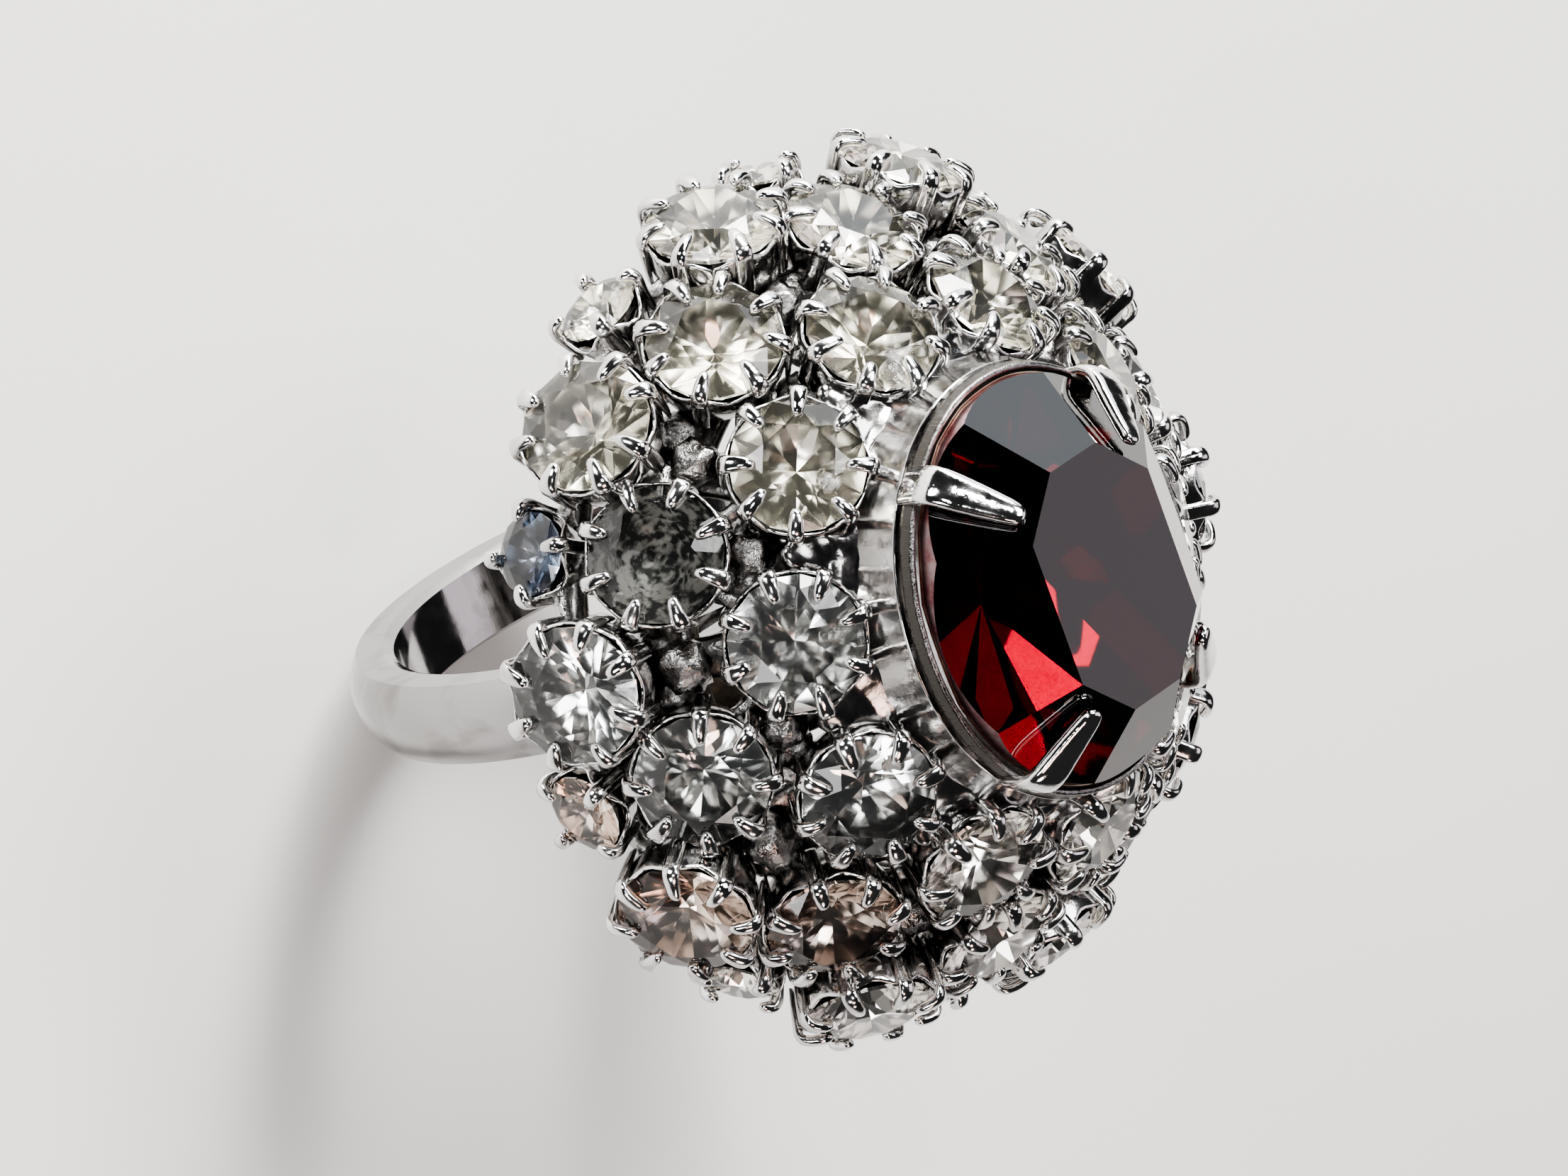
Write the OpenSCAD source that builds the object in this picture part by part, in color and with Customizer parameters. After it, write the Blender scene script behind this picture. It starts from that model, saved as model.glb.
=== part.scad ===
// Cocktail ring: a domed openwork head of claw-set round stones around one
// oval stone on a flared pedestal, soldered to a plain closed finger ring.
// Origin at the centre of the finger bore, +Y along the finger, +Z up
// through the head. Millimetres.

/* [Finger ring] */
// Inside radius of the finger ring
bore_r = 8.85; // [7.8:0.05:9]
// Wall of the finger ring at its crown
shank_wall = 1.95; // [1.4:0.05:2.2]
// Width of the finger ring along the finger
shank_w = 2.95; // [2:0.05:4]

/* [Oval centre stone] */
// Height of the table above the centre of the bore
table_z = 23.3; // [22.8:0.1:24.5]
// Length of the oval stone along the finger
oval_len = 14; // [13:0.1:15]
// Width of the oval stone across the finger
oval_wid = 12; // [11:0.1:13]
// Height of its crown above the girdle
oval_crown = 2.6; // [2:0.1:3]
// Depth of its pavilion below the girdle
oval_pavilion = 4.2; // [3.5:0.1:4.6]

/* [Round stones] */
// Radius of the large round stones
gem_r = 2.3; // [2.2:0.01:2.35]
// Radius of the small round stones on the rim
rim_gem_r = 1.42; // [1.3:0.01:1.5]
// Stones in each row
row_count = 10; // [10:1:10]
// Turn of the rows about the head's axis
head_turn = 6.4; // [0:0.1:18]

/* [Frame of the head] */
// Radius of the wire of the hoops
hoop_wire = 0.5; // [0.4:0.05:0.6]
// Width of the flat ribs
rib_width = 1.6; // [1.2:0.1:1.8]
// Radius of the base hoop to the middle of its wire
base_hoop_r = 12.2; // [12:0.1:12.5]
// Height of the base hoop
base_hoop_z = 10.1; // [9.8:0.05:10.4]

/* [Hidden] */
step_angle = 360 / row_count;
// Each row: half width across X, half width along Y, height, outward lean, turn.
inner_row = [8.95, 9.65, 17.2, 40, head_turn + step_angle / 2];
mid_row = [12.15, 12.4, 14.2, 52, head_turn];
outer_row = [14.55, 14.25, 12.25, 68, head_turn + step_angle / 2];
rim_row = [14.05, 14.35, 10.15, 88, head_turn];

// The arc, in a plane through the head's axis, that the ribs follow.
arc_r0 = 2;
arc_z0 = 6.4;
arc_radius = 10.7;
rib_thick = 0.5;

girdle_z = table_z - oval_crown;
// The bezel stands off the girdle, from its rim down to its foot.
bezel_gap = 0.12;
bezel_wall = 0.28;
bezel_rim_z = girdle_z - 0.22;
bezel_foot_z = girdle_z - 0.9;
// Pedestal outline: drop below the bezel's foot and flare beyond the bezel.
pedestal_steps = [[0, 0.1], [0.6, 0.16], [1.2, 0.3], [1.8, 0.48], [2.3, 0.64], [2.6, 0.7], [3.85, 0.7]];
pedestal_wall = 0.55;
oval_sides = 48;

stone_rows = ["inner", "mid", "outer", "rim"];
function stone_name(row, i) = str(row, "_stone_", i);
function stone_names() = [for (row = stone_rows) for (i = [0:row_count - 1]) stone_name(row, i)];

// ---- places ----

// Puts its children at place i of a row: local +Z is the stone's face normal.
module seat(row, i) {
    turn = row[4] + i * step_angle;
    translate([row[0] * cos(turn), row[1] * sin(turn), row[2]])
        rotate([0, 0, turn]) rotate([0, row[3], 0]) children();
}

module every_seat(row) {
    for (i = [0:row_count - 1]) seat(row, i) children();
}

// ---- finger ring and frame ----

module shank() {
    shank_r = bore_r + shank_wall;
    crown_r = 2.1;
    color("silver") rotate([90, 0, 0]) rotate_extrude($fn = 128)
        intersection() {
            translate([bore_r, -shank_w / 2]) square([shank_wall, shank_w]);
            translate([shank_r - crown_r, 0]) circle(r = crown_r, $fn = 96);
            translate([bore_r + shank_wall / 2, 0]) circle(r = shank_w / 2 + 0.12, $fn = 96);
        }
}

// Fillets of solder in the wedge between the bridge and the finger ring.
module shank_solder() {
    shank_r = bore_r + shank_wall;
    wedge = asin(bridge_z / shank_r);
    on_ring = [for (back = [0.3, 2.5, 4.7, 6.9]) shank_r * [cos(wedge - back), sin(wedge - back)]];
    color("lightgray") for (side = [0, 1]) mirror([side, 0, 0]) rotate([90, 0, 0])
        linear_extrude(shank_w - 1, center = true)
            polygon(concat([[on_ring[0][0], bridge_z]], on_ring, [[on_ring[3][0] + 0.3, bridge_z]]));
}

bridge_z = bore_r + shank_wall - 0.35;
bridge_t = 0.9;
bridge_w = 3.2;

// Strap across the open underside: its ends meet the base hoop and its
// saddle fits the crown of the finger ring.
module bridge() {
    half_len = base_hoop_r - 0.15;
    color("silver") difference() {
        union() {
            translate([-half_len, -bridge_w / 2, bridge_z]) cube([2 * half_len, bridge_w, bridge_t]);
            translate([0, 0, bridge_z]) cylinder(h = bridge_t, r = 2.6, $fn = 64);
        }
        rotate([90, 0, 0])
            cylinder(h = 4 * bridge_w, r = bore_r + shank_wall, center = true, $fn = 128);
        translate([0, 0, base_hoop_z]) rotate_extrude($fn = 128)
            translate([base_hoop_r, 0]) circle(r = hoop_wire, $fn = 48);
    }
}

module wire_hoop(r, z, wire) {
    translate([0, 0, z]) rotate_extrude($fn = 128) translate([r, 0]) circle(r = wire, $fn = 48);
}

module base_hoop() {
    color("silver") wire_hoop(base_hoop_r, base_hoop_z, hoop_wire);
}

// The middle hoop lies inside the ribs, touching them.
module mid_hoop() {
    hoop_angle = 39;
    inset = arc_radius - rib_thick / 2 - hoop_wire + 0.05;
    color("silver")
        wire_hoop(arc_r0 + inset * cos(hoop_angle), arc_z0 + inset * sin(hoop_angle), hoop_wire);
}

// The top hoop joins the upper ends of the ribs and carries the pedestal.
module top_hoop() {
    color("silver") wire_hoop(7.3, 15.7, 0.4);
}

// One rib: flat strap along the arc, from the base hoop up to the top hoop.
module rib(turn, low, high) {
    rotate([0, 0, turn]) translate([arc_r0, 0, arc_z0]) rotate([90, 0, 0]) rotate([0, 0, low])
        rotate_extrude(angle = high - low, $fn = 96)
            translate([arc_radius, 0]) square([rib_thick, rib_width], center = true);
}

rib_low = 22;
rib_high = 61.5;

module inner_outer_ribs() {
    color("silver") for (i = [0:row_count - 1]) rib(inner_row[4] + i * step_angle, rib_low, rib_high);
}

module mid_rim_ribs() {
    color("silver") for (i = [0:row_count - 1]) rib(mid_row[4] + i * step_angle, rib_low, rib_high);
}

// ---- oval centre ----

function oval_ring(grow, z) = [for (i = [0:oval_sides - 1]) let (a = 360 * i / oval_sides)
    [(oval_wid / 2 + grow) * cos(a), (oval_len / 2 + grow) * sin(a), z]];

// Closed oval band between an outer and an inner outline of [grow, z] pairs.
module oval_band(outline) {
    n = len(outline);
    points = [for (p = outline) each oval_ring(p[0], p[1])];
    faces = [for (k = [0:n - 1]) for (i = [0:oval_sides - 1])
        let (j = (i + 1) % oval_sides, m = (k + 1) % n)
        [k * oval_sides + i, k * oval_sides + j, m * oval_sides + j, m * oval_sides + i]];
    polyhedron(points = points, faces = faces, convexity = 6);
}

module pedestal() {
    start = bezel_gap + bezel_wall;
    n = len(pedestal_steps);
    outer = [for (s = pedestal_steps) [start + s[1], bezel_foot_z - s[0]]];
    inner = [for (k = [n - 1:-1:0]) [start + pedestal_steps[k][1] - pedestal_wall,
                                     bezel_foot_z - pedestal_steps[k][0]]];
    color("silver") oval_band(concat(outer, inner));
}

// Sloping webs that fill the notches between the pedestal and two inner cups.
module pedestal_webs() {
    half_angle = 9;
    reach = 2.3;
    wide = oval_wid / 2 + bezel_gap + bezel_wall + 0.2;
    long = oval_len / 2 + bezel_gap + bezel_wall + 0.2;
    color("silver") for (i = [0:row_count - 1])
        let (turn = mid_row[4] + i * step_angle,
             polar = atan2(inner_row[1] * sin(turn), inner_row[0] * cos(turn)),
             near = 1 / norm([cos(polar) / wide, sin(polar) / long]))
            difference() {
                rotate([0, 0, polar - half_angle]) rotate_extrude(angle = 2 * half_angle, $fn = 128)
                    polygon([[near, 18.3], [near, 17.9], [near + reach, 16.5], [near + reach, 16.9]]);
                for (k = [i - 1, i]) seat(inner_row, k)
                    cylinder(h = 8, r = gem_r + 0.04, center = true, $fn = 64);
            }
}

// Beads of solder in the notch between the pedestal's skirt and the cups.
module pedestal_solder() {
    bead_r = 0.42;
    color("lightgray") for (i = [0:row_count - 1])
        let (turn = mid_row[4] + i * step_angle)
            translate([7.35 * cos(turn), 8.35 * sin(turn), 17]) sphere(r = bead_r, $fn = 24);
}

// Thin oval collet that the stone drops into, with a sloping inner seat.
module bezel() {
    outer = bezel_gap + bezel_wall;
    color("silver") oval_band([
        [outer, bezel_rim_z], [outer + pedestal_steps[0][1], bezel_foot_z],
        [bezel_gap - 0.78, bezel_foot_z],
        [bezel_gap, bezel_rim_z - 0.06], [bezel_gap, bezel_rim_z]]);
}

// Flat bar between two points, each with a half width and an end radius.
module flat_bar(p, q, side) {
    hull() for (end = [p, q]) for (sign = [-1, 1])
        translate(end[0] + sign * (end[1] - end[2]) * side) sphere(r = end[2], $fn = 18);
}

// Broad claws that grow from the bezel's wall and fold over the crown.
module centre_claws() {
    turn = 47;
    stand = bezel_gap + bezel_wall - 0.1;
    facing = atan2(oval_len * sin(turn), oval_wid * cos(turn));
    side = [-sin(facing), cos(facing), 0];
    function around(grow, z) = [(oval_wid / 2 + grow) * cos(turn),
                                (oval_len / 2 + grow) * sin(turn), girdle_z + z];
    // Each row: place, half width, half thickness.
    foot = [around(stand, -0.75), 0.7, 0.3];
    bend = [around(stand, 0.35), 0.68, 0.3];
    tip = [around(-1.95, 2.4), 0.38, 0.26];
    color("silver") for (x = [0, 1]) for (y = [0, 1]) mirror([x, 0, 0]) mirror([0, y, 0]) {
        flat_bar(foot, bend, side);
        flat_bar(bend, tip, side);
    }
}

// All of the space on the stone's side of one facet plane.
module facet_side(reach, turn, slope, z, up) {
    size = 40;
    rotate([0, 0, turn]) translate([reach, 0, z]) rotate([0, up * slope, 0])
        translate([-size / 2, -size / 2, up > 0 ? -size : 0]) cube(size);
}

table_half_len = 4.32;
table_half_wid = 3;
table_end_half = 1.18;
table_side_half = 2.52;

// The oval gem: planar crown facets from an eight-sided table down to the
// girdle, and eight pavilion facets that meet at the point.
module oval_gem() {
    slant = atan2(table_half_wid - table_end_half, table_half_len - table_side_half);
    slant_reach = table_half_wid * cos(slant) + table_side_half * sin(slant);
    slant_girdle = sqrt(pow(oval_wid / 2 * cos(slant), 2) + pow(oval_len / 2 * sin(slant), 2));
    sides = [[0, table_half_wid, oval_wid / 2], [slant, slant_reach, slant_girdle],
             [90, table_half_len, oval_len / 2], [180 - slant, slant_reach, slant_girdle],
             [180, table_half_wid, oval_wid / 2], [180 + slant, slant_reach, slant_girdle],
             [270, table_half_len, oval_len / 2], [-slant, slant_reach, slant_girdle]];
    intersection() {
        translate([0, 0, girdle_z - oval_pavilion]) linear_extrude(oval_pavilion + oval_crown)
            polygon([for (p = oval_ring(0, 0)) [p[0], p[1]]]);
        intersection_for (s = sides)
            facet_side(s[1], s[0], atan2(oval_crown, s[2] - s[1]), table_z, 1);
        intersection_for (s = sides)
            facet_side(s[2], s[0], atan2(oval_pavilion, s[2]), girdle_z - 0.2, -1);
    }
}

module centre_stone() {
    color("darkred") oval_gem();
}

// ---- round stones and their cups ----

// Tapered strip that stands outside the girdle and folds in over the crown.
module claw(r, half_width, foot) {
    thick = 0.2;
    reach = 0.3 * r;
    side = [[r + 0.02, -foot], [r + thick, -foot], [r + thick + 0.04, 0.2], [r + 0.06, 0.46],
            [r - reach, 0.52], [r - reach, 0.34], [r - 0.06, 0.26], [r + 0.02, 0.1]];
    plan = [[r + 0.4, -half_width], [r + 0.4, half_width], [r, 0.9 * half_width],
            [r - 0.94 * reach, 0.42 * half_width], [r - 1.1 * reach, 0],
            [r - 0.94 * reach, -0.42 * half_width], [r, -0.9 * half_width]];
    intersection() {
        rotate([90, 0, 0]) linear_extrude(3 * half_width, center = true) polygon(side);
        translate([0, 0, -foot - 1]) linear_extrude(foot + 3) polygon(plan);
    }
}

// Turned cup with a ring of claws around its wall.
module claw_cup(r, claws, half_width, depth) {
    wall = 0.16;
    rim = 0.02;
    rotate_extrude($fn = 64) polygon([
        [0, -depth], [0.45 * r, -depth], [0.8 * r, -0.8 * depth], [r + 0.6 * wall, -0.3 * depth],
        [r + wall, rim], [r + 0.04, rim], [r + 0.04, -0.14], [0.56 * r, -0.52 * r],
        [0.25 * r, -0.3 - 0.77 * r], [0, -0.3 - 0.77 * r]]);
    for (i = [0:claws - 1]) rotate([0, 0, (i + 0.5) * 360 / claws])
        claw(r, half_width, 0.34 * depth);
}

large_depth = 2.45;
outer_depth = 3;
small_depth = 1.75;
large_claw = 0.37;
small_claw = 0.36;

module inner_cups() {
    color("gainsboro") every_seat(inner_row) claw_cup(gem_r, 8, large_claw, large_depth);
}

module mid_cups() {
    color("gainsboro") every_seat(mid_row) claw_cup(gem_r, 8, large_claw, large_depth);
}

module outer_cups() {
    color("gainsboro") every_seat(outer_row) claw_cup(gem_r, 8, large_claw, outer_depth);
}

module rim_cups() {
    color("gainsboro") every_seat(rim_row) claw_cup(rim_gem_r, 4, small_claw, small_depth);
}

// Point on a cup's own axis, at a depth below its girdle plane.
function sunk(row, i, depth) = let (turn = row[4] + i * step_angle)
    [(row[0] - depth * sin(row[3])) * cos(turn), (row[1] - depth * sin(row[3])) * sin(turn),
     row[2] - depth * cos(row[3])];

// Neck of solder between two cups, from inside one wall to inside the other.
module solder_neck(p, q, reach_p, reach_q) {
    span = q - p;
    length = norm(span);
    translate(p) rotate([0, acos(span[2] / length), atan2(span[1], span[0])])
        translate([0, 0, reach_p]) cylinder(h = length - reach_p - reach_q, r = 0.38, $fn = 32);
}

// Solder between each cup and its neighbours in the next row.
module cup_solder() {
    large_reach = 1.95;
    small_reach = 1.15;
    color("lightgray") for (i = [0:row_count - 1]) for (side = [0, 1]) {
        solder_neck(sunk(inner_row, i, 1.1), sunk(mid_row, i + side, 1.1), large_reach, large_reach);
        solder_neck(sunk(outer_row, i, 0.8), sunk(mid_row, i + side, 1.3), large_reach, large_reach);
        solder_neck(sunk(outer_row, i, 0.7), sunk(rim_row, i + side, 1.0), large_reach, small_reach);
    }
}

// Brilliant: eight-sided table, sixteen-sided girdle, pointed pavilion.
module round_gem(r) {
    table_r = 0.56 * r;
    crown = 0.24 * r;
    girdle = 0.03 * r;
    deep = 0.76 * r;
    points = concat(
        [for (i = [0:7]) [table_r * cos(45 * i), table_r * sin(45 * i), girdle + crown]],
        [for (i = [0:15]) [r * cos(22.5 * i), r * sin(22.5 * i), girdle]],
        [for (i = [0:15]) [r * cos(22.5 * i), r * sin(22.5 * i), -girdle]],
        [[0, 0, -girdle - deep]]);
    upper = 8;
    lower = 24;
    faces = concat(
        [[for (i = [7:-1:0]) i]],
        [for (i = [0:7]) [i, upper + 2 * i + 1, upper + 2 * i]],
        [for (i = [0:7]) [i, (i + 1) % 8, upper + 2 * i + 1]],
        [for (i = [0:7]) [(i + 1) % 8, upper + (2 * i + 2) % 16, upper + 2 * i + 1]],
        [for (i = [0:15]) [upper + i, upper + (i + 1) % 16, lower + (i + 1) % 16, lower + i]],
        [for (i = [0:15]) [lower + i, lower + (i + 1) % 16, 40]]);
    polyhedron(points = points, faces = faces, convexity = 3);
}

module row_stone(row, i, r) {
    color("white") seat(row, i) round_gem(r);
}

// ---- nodes ----

shank();
shank_solder();
bridge();
base_hoop();
mid_hoop();
top_hoop();
inner_outer_ribs();
mid_rim_ribs();
pedestal();
pedestal_webs();
pedestal_solder();
bezel();
centre_claws();
centre_stone();
inner_cups();
mid_cups();
outer_cups();
rim_cups();
cup_solder();
for (i = [0:row_count - 1]) {
    row_stone(inner_row, i, gem_r);
    row_stone(mid_row, i, gem_r);
    row_stone(outer_row, i, gem_r);
    row_stone(rim_row, i, rim_gem_r);
}
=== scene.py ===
"""Looks of the cocktail ring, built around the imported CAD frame. Metres, CAD axes."""
import math
import random

import bmesh
import bpy
import numpy as np
from mathutils import Matrix, Vector, noise


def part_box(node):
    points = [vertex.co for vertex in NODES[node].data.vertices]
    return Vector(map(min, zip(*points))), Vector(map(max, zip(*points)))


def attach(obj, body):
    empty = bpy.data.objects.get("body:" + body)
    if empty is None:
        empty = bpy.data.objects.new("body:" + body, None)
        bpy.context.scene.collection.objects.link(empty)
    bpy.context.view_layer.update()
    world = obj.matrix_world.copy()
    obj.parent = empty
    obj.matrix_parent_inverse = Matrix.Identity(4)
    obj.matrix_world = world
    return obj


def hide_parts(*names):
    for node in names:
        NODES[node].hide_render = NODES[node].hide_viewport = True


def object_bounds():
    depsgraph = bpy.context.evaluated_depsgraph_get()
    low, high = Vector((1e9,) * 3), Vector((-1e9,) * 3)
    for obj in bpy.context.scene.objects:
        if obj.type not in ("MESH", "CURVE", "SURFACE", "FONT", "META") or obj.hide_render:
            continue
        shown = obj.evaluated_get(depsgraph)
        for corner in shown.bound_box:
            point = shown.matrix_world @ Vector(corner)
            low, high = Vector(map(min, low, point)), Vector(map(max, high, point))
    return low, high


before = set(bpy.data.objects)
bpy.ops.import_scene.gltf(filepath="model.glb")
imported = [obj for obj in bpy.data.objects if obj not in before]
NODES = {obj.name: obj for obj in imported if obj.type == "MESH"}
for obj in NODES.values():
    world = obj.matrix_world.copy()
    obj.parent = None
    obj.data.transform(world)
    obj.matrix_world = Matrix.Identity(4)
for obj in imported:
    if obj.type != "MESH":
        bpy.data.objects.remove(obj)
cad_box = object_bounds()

MM = 0.001
ROWS = ("inner", "mid", "outer", "rim")
ROW_COUNT = 10


# ---- materials ----

def new_material(name):
    material = bpy.data.materials.new(name)
    material.use_nodes = True
    tree = material.node_tree
    shader = tree.nodes["Principled BSDF"]
    return material, tree, shader


def place(tree, stretch=(1, 1, 1)):
    """Object coordinates in millimetres, stretched along each axis."""
    coords = tree.nodes.new("ShaderNodeTexCoord")
    mapping = tree.nodes.new("ShaderNodeMapping")
    mapping.inputs["Scale"].default_value = [1000 * s for s in stretch]
    tree.links.new(coords.outputs["Object"], mapping.inputs["Vector"])
    return mapping.outputs["Vector"]


def noise_value(tree, vector, scale, detail=4.0, distortion=0.0):
    texture = tree.nodes.new("ShaderNodeTexNoise")
    texture.inputs["Scale"].default_value = scale
    texture.inputs["Detail"].default_value = detail
    texture.inputs["Distortion"].default_value = distortion
    tree.links.new(vector, texture.inputs["Vector"])
    return texture.outputs["Fac"]


def ramp(tree, value, stops):
    """Colour ramp with stops of (position, colour)."""
    node = tree.nodes.new("ShaderNodeValToRGB")
    elements = node.color_ramp.elements
    elements[0].position = stops[0][0]
    elements[0].color = (*stops[0][1], 1)
    elements[1].position = stops[-1][0]
    elements[1].color = (*stops[-1][1], 1)
    for position, colour in stops[1:-1]:
        element = elements.new(position)
        element.color = (*colour, 1)
    tree.links.new(value, node.inputs["Fac"])
    return node.outputs["Color"]


def spread(tree, value, low, high, start=0.3, end=0.7):
    """Maps a noise value onto a range."""
    node = tree.nodes.new("ShaderNodeMapRange")
    node.inputs["From Min"].default_value = start
    node.inputs["From Max"].default_value = end
    node.inputs["To Min"].default_value = low
    node.inputs["To Max"].default_value = high
    tree.links.new(value, node.inputs["Value"])
    return node.outputs["Result"]


def add_bump(tree, shader, layers):
    """Chains bump nodes: layers of (value, strength, distance in mm)."""
    normal = None
    for value, strength, distance in layers:
        bump = tree.nodes.new("ShaderNodeBump")
        bump.inputs["Strength"].default_value = strength
        bump.inputs["Distance"].default_value = distance * MM
        tree.links.new(value, bump.inputs["Height"])
        if normal is not None:
            tree.links.new(normal, bump.inputs["Normal"])
        normal = bump.outputs["Normal"]
    tree.links.new(normal, shader.inputs["Normal"])


def mixed(tree, factor, first, second):
    """Blend from first, a socket, to second, a plain colour."""
    node = tree.nodes.new("ShaderNodeMix")
    node.data_type = "RGBA"
    tree.links.new(factor, node.inputs["Factor"])
    tree.links.new(first, node.inputs[6])
    node.inputs[7].default_value = (*second, 1)
    return node.outputs[2]


def painted_shade(tree, vector):
    """Painted shade: the mesh's own value for how dark the metal is painted, broken up by noise.
    """
    depth = tree.nodes.new("ShaderNodeAttribute")
    depth.attribute_name = "painted_shade"
    blotch = spread(tree, noise_value(tree, vector, 1.3, 5.0), 0.55, 1.25)
    product = tree.nodes.new("ShaderNodeMath")
    product.operation = "MULTIPLY"
    product.use_clamp = True
    tree.links.new(depth.outputs["Fac"], product.inputs[0])
    tree.links.new(blotch, product.inputs[1])
    return product.outputs[0]


def metal(name, bright, dull, shine, rough, marks):
    """Plated metal: dull tone in soft patches, painted shade in hollows and shaded places, uneven
    polish, fine marks.

    marks are bump layers of (stretch, scale, strength, distance in mm).
    """
    material, tree, shader = new_material(name)
    plain = place(tree)
    patches = noise_value(tree, plain, 0.45, 6.0, 0.6)
    colour = ramp(tree, patches, [(0.3, dull), (0.52, bright), (0.75, bright)])
    # Painted shade: the colour goes towards a near-black tone as far as the mesh's shade value
    # asks.
    colour = mixed(tree, painted_shade(tree, plain), colour, PAINTED_SHADE_TONE)
    polish = spread(tree, noise_value(tree, plain, 1.6, 5.0), shine, rough)
    tree.links.new(colour, shader.inputs["Base Color"])
    tree.links.new(polish, shader.inputs["Roughness"])
    shader.inputs["Metallic"].default_value = 1.0
    layers = []
    for stretch, scale, strength, distance in marks:
        value = noise_value(tree, place(tree, stretch), scale, 3.0)
        layers.append((value, strength, distance))
    add_bump(tree, shader, layers)
    return material


def glass(name, tint, index, haze):
    """Cut glass: clear, faintly uneven in colour, with light rubbing on the facets."""
    material, tree, shader = new_material(name)
    tints = ramp(tree, noise_value(tree, place(tree), 0.25, 2.0),
                 [(0.25, tint), (0.75, [c ** 0.9 for c in tint])])
    tree.links.new(tints, shader.inputs["Base Color"])
    rubbed = spread(tree, noise_value(tree, place(tree), 3.0, 6.0), 0.0, haze, 0.55, 0.9)
    tree.links.new(rubbed, shader.inputs["Roughness"])
    shader.inputs["Transmission Weight"].default_value = 1.0
    shader.inputs["IOR"].default_value = index
    return material


def foil(name, bright, dull, start, end, rough, grain=0.9):
    """Mirror coating on the back of a stone, with clouded patches of a given grain."""
    material, tree, shader = new_material(name)
    wear = noise_value(tree, place(tree), grain, 5.0, 0.2)
    tree.links.new(ramp(tree, wear, [(start, dull), (end, bright)]), shader.inputs["Base Color"])
    tree.links.new(spread(tree, wear, rough, 0.8 * rough, start, end), shader.inputs["Roughness"])
    shader.inputs["Metallic"].default_value = 1.0
    return material


# Metals: bright and dull tone, lowest and highest roughness, marks.
# Near-black tone that the painted shade blends towards.
PAINTED_SHADE_TONE = (0.07, 0.065, 0.06)
SILVER = (0.78, 0.77, 0.76)
SHADE = (0.55, 0.53, 0.52)
POLISHED = metal("plated_band", (0.40, 0.39, 0.39), (0.24, 0.23, 0.225), 0.04, 0.14,
                 [((1, 0.12, 1), 14, 0.10, 0.01), ((0.6, 0.9, 0.6), 0.6, 0.15, 0.05)])
# The frame's tones are dark all over: painted shade, since the frame shows only in the shaded
# gaps.
CAST = metal("plated_frame", (0.34, 0.33, 0.32), (0.12, 0.115, 0.11), 0.14, 0.36,
             [((1, 1, 1), 5, 0.35, 0.04), ((1, 1, 1), 1.2, 0.4, 0.12)])
SKIRT = metal("plated_pedestal", (0.52, 0.51, 0.50), (0.26, 0.25, 0.245), 0.10, 0.22,
              [((1, 1, 1), 0.9, 0.30, 0.12), ((2.5, 2.5, 0.4), 4, 0.10, 0.03)])
# The bezel's tones are dark: painted shade and a painted dark reflection of the surroundings.
COLLET = metal("plated_bezel", (0.40, 0.39, 0.385), (0.10, 0.098, 0.095), 0.06, 0.22,
               [((2.2, 2.2, 0.2), 6, 0.7, 0.05), ((1, 1, 1), 8, 0.25, 0.03)])
CLAW = metal("plated_claws", (0.82, 0.81, 0.80), (0.70, 0.68, 0.67), 0.04, 0.15,
             [((1, 1, 1), 1.6, 0.3, 0.08), ((1, 1, 1), 7, 0.12, 0.02)])
CUP = metal("plated_cups", SILVER, SHADE, 0.05, 0.20,
            [((1, 1, 1), 2.2, 0.35, 0.06), ((1, 1, 1), 9, 0.15, 0.02)])
SOLDER = metal("solder_metal", (0.70, 0.69, 0.68), (0.34, 0.33, 0.32), 0.12, 0.40,
               [((1, 1, 1), 3.5, 0.8, 0.10), ((1, 1, 1), 11, 0.5, 0.03)])
# Glass: tint, refractive index, haze. Foils: bright and dull tone, the noise values at
# which they are dull and bright, roughness, grain.
RUBY = glass("ruby_glass", (0.042, 0.0001, 0.0100), 1.62, 0.02)
RUBY_FOIL = foil("ruby_foil", (0.50, 0.03, 0.08), (0.40, 0.02, 0.05), 0.25, 0.5, 0.05, 0.4)
RUBY_EDGE = foil("ruby_edge", (0.34, 0.24, 0.25), (0.20, 0.06, 0.07), 0.35, 0.6, 0.35, 1.5)
LACQUER = foil("foil_lacquer", (0.42, 0.36, 0.28), (0.25, 0.20, 0.15), 0.35, 0.6, 0.45, 1.2)
CLEAR = glass("clear_glass", (0.98, 0.98, 0.955), 1.58, 0.012)
# The warm, rose and cool foils' tints are painted reflections of warm and cool surroundings; the
# worn foil's clouding is wear.
FOIL_WARM = foil("foil_warm", (1.0, 0.97, 0.89), (0.92, 0.88, 0.77), 0.30, 0.5, 0.15, 0.5)
FOIL_PLAIN = foil("foil_plain", (0.98, 0.95, 0.91), (0.86, 0.82, 0.77), 0.30, 0.5, 0.13, 0.5)
FOIL_GREY = foil("foil_grey", (0.94, 0.95, 0.95), (0.80, 0.81, 0.81), 0.32, 0.5, 0.12, 0.5)
FOIL_ROSE = foil("foil_rose", (0.82, 0.71, 0.65), (0.36, 0.28, 0.24), 0.34, 0.52, 0.13, 0.5)
FOIL_COOL = foil("foil_cool", (0.28, 0.32, 0.39), (0.07, 0.08, 0.11), 0.36, 0.56, 0.2)
FOIL_WORN = foil("foil_worn", (0.50, 0.50, 0.48), (0.05, 0.05, 0.05), 0.44, 0.60, 0.5, 2.6)


# ---- directions and outlines ----

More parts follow.
